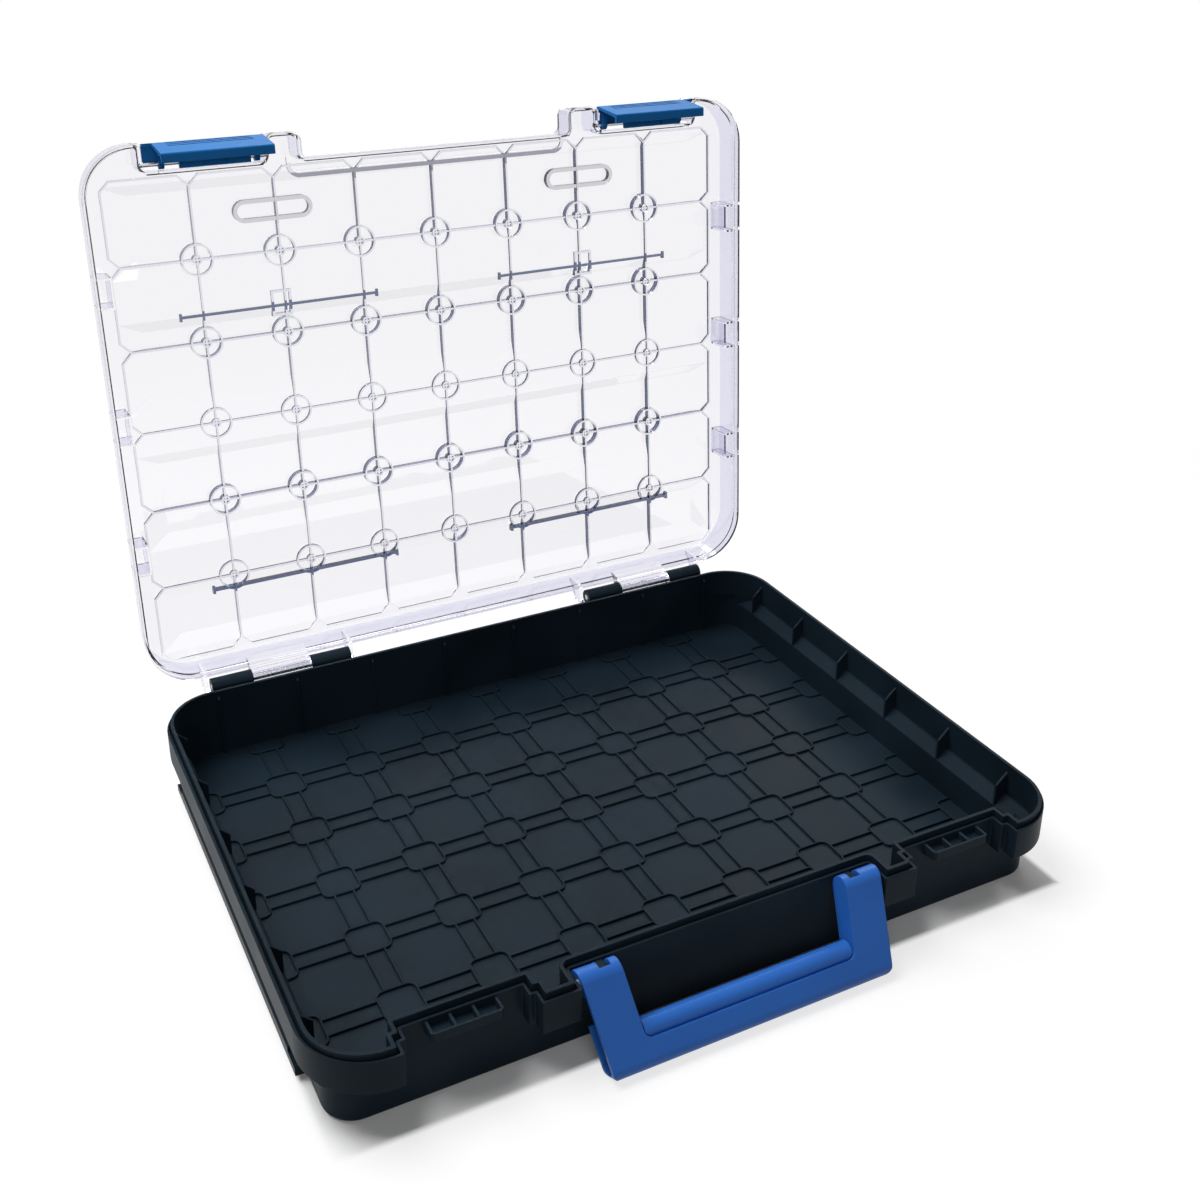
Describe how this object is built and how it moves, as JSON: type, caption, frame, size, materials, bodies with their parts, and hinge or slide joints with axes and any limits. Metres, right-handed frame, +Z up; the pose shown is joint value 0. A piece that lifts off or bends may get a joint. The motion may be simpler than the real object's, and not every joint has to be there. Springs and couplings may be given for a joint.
{
  "type": "tool case",
  "caption": "Shallow rectangular carrying case: dark tray, clear ribbed lid on a rear hinge, front latches and a swinging carry handle.",
  "frame": {"origin": "on the ground under the middle of the insert grid, in the bottom face of the tray", "axes": "+X to the right seen from the front, +Y back towards the hinge, +Z up"},
  "size_m": [0.4416, 0.4183, 0.3944],
  "materials": {
    "tray_plastic": "fine-grained dark slate injection moulding",
    "rail_plastic": "smooth dark slate moulding",
    "clear_plastic": "polished clear moulding",
    "latch_plastic": "satin blue moulding",
    "handle_plastic": "satin blue moulding",
    "grip_plastic": "satin blue moulding",
    "pin_steel": "drawn steel wire"
  },
  "bodies": {
    "base": {"base_tray": "tray_plastic", "slide_rail_left": "rail_plastic", "slide_rail_right": "rail_plastic", "hinge_pin_left": "pin_steel", "hinge_pin_right": "pin_steel"},
    "lid": {"lid_shell": "clear_plastic", "latch_pin_left": "pin_steel", "latch_pin_right": "pin_steel"},
    "latch_left": {"latch_left": "latch_plastic"},
    "latch_right": {"latch_right": "latch_plastic"},
    "handle": {"handle_shell": "handle_plastic", "handle_grip": "grip_plastic", "handle_pin_left": "pin_steel", "handle_pin_right": "pin_steel"}
  },
  "joints": [
    {"name": "lid_hinge", "type": "hinge", "parent": "base", "child": "lid", "pos_m": [0, 0.1695, 0.0482], "axis": [1, 0, 0], "range_deg": [0, 94.5]},
    {"name": "latch_left_hinge", "type": "hinge", "parent": "lid", "child": "latch_left", "pos_m": [-0.1455, 0.20104, 0.38145], "axis": [-1, 0, 0], "range_deg": [0, 95]},
    {"name": "latch_right_hinge", "type": "hinge", "parent": "lid", "child": "latch_right", "pos_m": [0.1455, 0.20104, 0.38145], "axis": [-1, 0, 0], "range_deg": [0, 95]},
    {"name": "handle_swing", "type": "hinge", "parent": "base", "child": "handle", "pos_m": [0, -0.1695, 0.0445], "axis": [-1, 0, 0], "range_deg": [-29.4, 75]}
  ]
}
